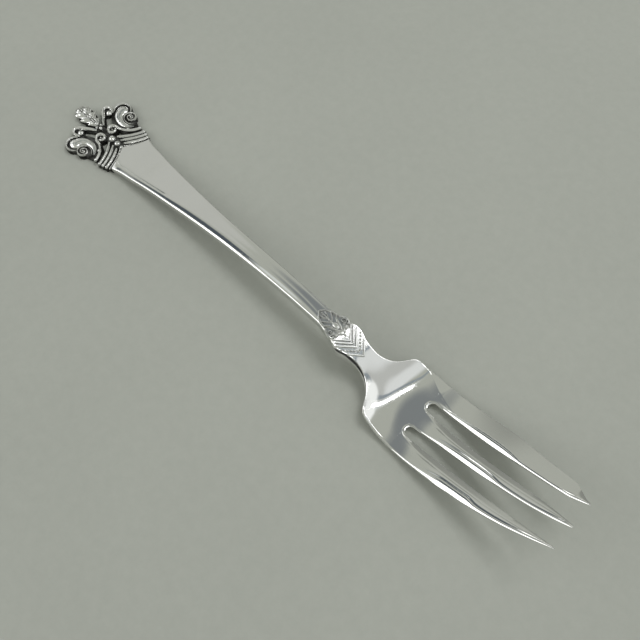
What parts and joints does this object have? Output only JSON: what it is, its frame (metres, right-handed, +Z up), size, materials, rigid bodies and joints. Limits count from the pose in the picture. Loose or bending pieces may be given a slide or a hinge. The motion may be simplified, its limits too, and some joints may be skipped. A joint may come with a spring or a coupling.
{
  "type": "pastry fork",
  "caption": "Silver pastry fork with a broad cutting tine beside plain ones, an arched handle, a scroll and leaf end and a chevron ornament on its neck.",
  "frame": {"origin": "bottom centre of the fork's box: the table under the middle of its length", "axes": "+X along the fork towards the tips of the tines, +Y to the side of the broad cutting tine, +Z up, with the tines' hollow face up"},
  "size_m": [0.148, 0.0196, 0.0136],
  "materials": {
    "polished_silver": "bright polished silver with fine wear",
    "relief_silver": "polished silver relief, darkened in its grooves",
    "darkened_silver": "tarnished silver ground between the reliefs"
  },
  "bodies": {
    "root": {"palm": "polished_silver", "cutting_tine": "polished_silver", "middle_tine": "polished_silver", "outer_tine": "polished_silver", "neck": "polished_silver", "handle": "polished_silver", "terminal_plate": "darkened_silver", "terminal_leaf": "relief_silver", "leaf_knot": "relief_silver", "hook_scroll_left": "relief_silver", "hook_scroll_right": "relief_silver", "outer_scroll_left": "relief_silver", "outer_scroll_right": "relief_silver", "volute_left": "relief_silver", "volute_right": "relief_silver", "axis_beads": "relief_silver", "reeds_left": "relief_silver", "reeds_right": "relief_silver", "bead_wire_left": "relief_silver", "bead_wire_right": "relief_silver", "neck_leaf": "relief_silver", "neck_scroll_left": "relief_silver", "neck_scroll_right": "relief_silver", "neck_reeds": "relief_silver", "neck_beads": "relief_silver", "neck_rim": "relief_silver"}
  },
  "joints": []
}
